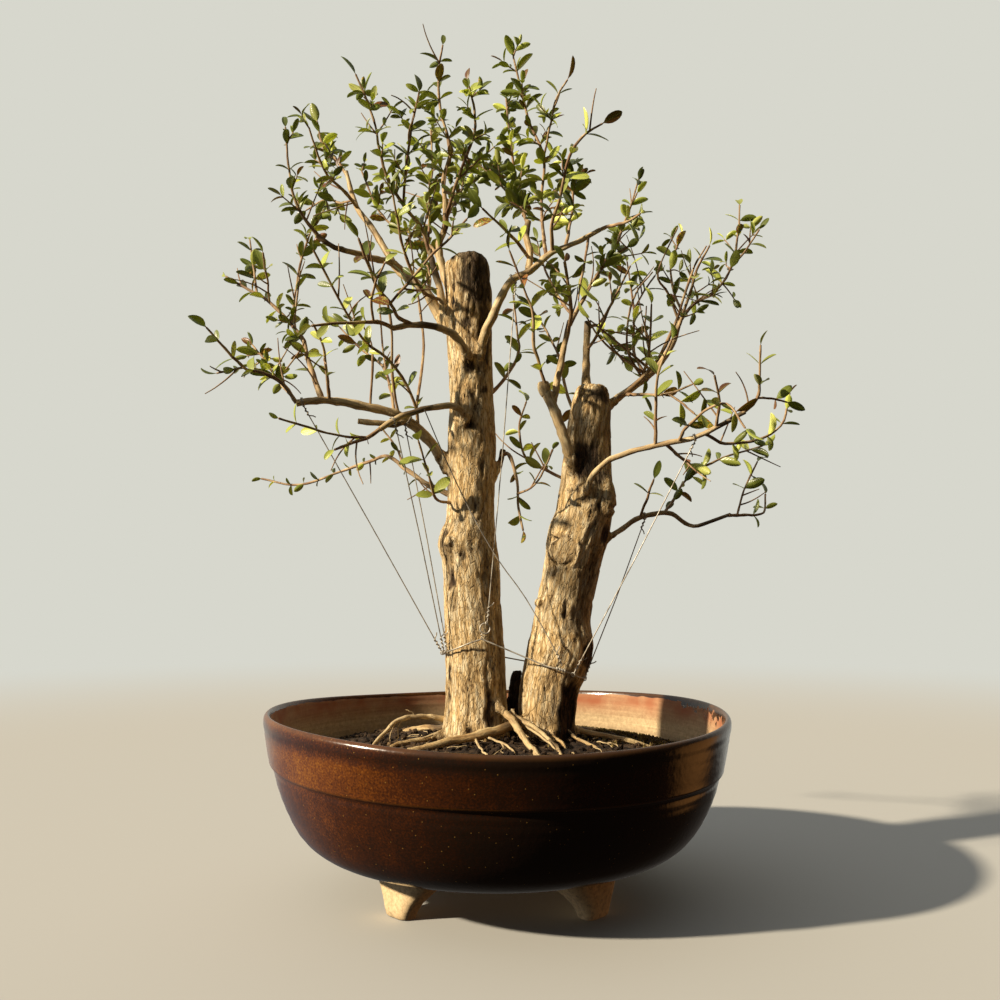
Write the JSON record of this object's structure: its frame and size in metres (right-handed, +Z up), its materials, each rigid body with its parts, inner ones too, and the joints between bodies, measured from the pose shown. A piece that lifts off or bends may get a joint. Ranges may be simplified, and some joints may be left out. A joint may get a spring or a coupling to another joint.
{
  "type": "pomegranate bonsai",
  "caption": "Twin-trunk pomegranate bonsai with sparse leafy shoots, surface roots and guy wires, planted in a deep round glazed bowl on bracket feet.",
  "frame": {"origin": "on the table, under the middle of the pot's feet", "axes": "+Z up the trunks, -Y the front of the tree, +X to its right as seen from the front"},
  "size_m": [0.5218, 0.396, 0.7712],
  "materials": {
    "glaze": "dark amber-brown gloss glaze, bare clay below the inside of the lip and on the feet",
    "soil": "matt granular clay soil with a little moss",
    "bark": "matt tan bark in long ridges",
    "foliage": "glossy dark green leaf blades on thin tan shoots",
    "wire": "dull steel wire"
  },
  "bodies": {
    "root": {"pot": "glaze", "soil": "soil", "trunks": "bark", "belt_wire": "wire", "guy_low_left": "wire", "guy_front_low": "wire", "guy_mid_left": "wire", "guy_arch": "wire", "guy_low_right": "wire", "guy_reach_right": "wire", "spray_tip_left_low": "foliage", "spray_strong_left": "foliage", "spray_low_forward": "foliage", "spray_slant_left": "foliage", "spray_slant_back": "foliage", "spray_front_low_tip": "foliage", "spray_front_high_tip": "foliage", "spray_fork_front": "foliage", "spray_rise_left_tip": "foliage", "spray_rise_left_fork": "foliage", "spray_reach_left_tip": "foliage", "spray_mid_high": "foliage", "spray_mid_back": "foliage", "spray_mid_front": "foliage", "spray_mid_short": "foliage", "spray_tallest": "foliage", "spray_tallest_side": "foliage", "spray_arch_tip": "foliage", "spray_arch_rise": "foliage", "spray_arch_hang": "foliage", "spray_stub_left": "foliage", "spray_stub_front": "foliage", "spray_arch_front": "foliage", "spray_arch_back": "foliage", "spray_under_left": "foliage", "spray_under_front": "foliage", "spray_between": "foliage", "spray_cut_left_tip": "foliage", "spray_hang_mid": "foliage", "spray_low_right_tip": "foliage", "spray_low_right_up": "foliage", "spray_low_right_down": "foliage", "spray_low_right_out": "foliage", "spray_low_right_front": "foliage", "spray_low_right_side": "foliage", "spray_reach_right_tip": "foliage", "spray_reach_right_up": "foliage", "spray_reach_right_back": "foliage", "spray_cut_up_right": "foliage", "spray_cut_up_front": "foliage", "spray_behind_mid": "foliage", "spray_cut_mid_top": "foliage", "spray_cut_mid_side": "foliage", "spray_fan_top": "foliage", "spray_fan_mid": "foliage", "spray_fan_left": "foliage", "spray_fan_front": "foliage", "spray_fan_out": "foliage", "spray_knot_left": "foliage"}
  },
  "joints": []
}
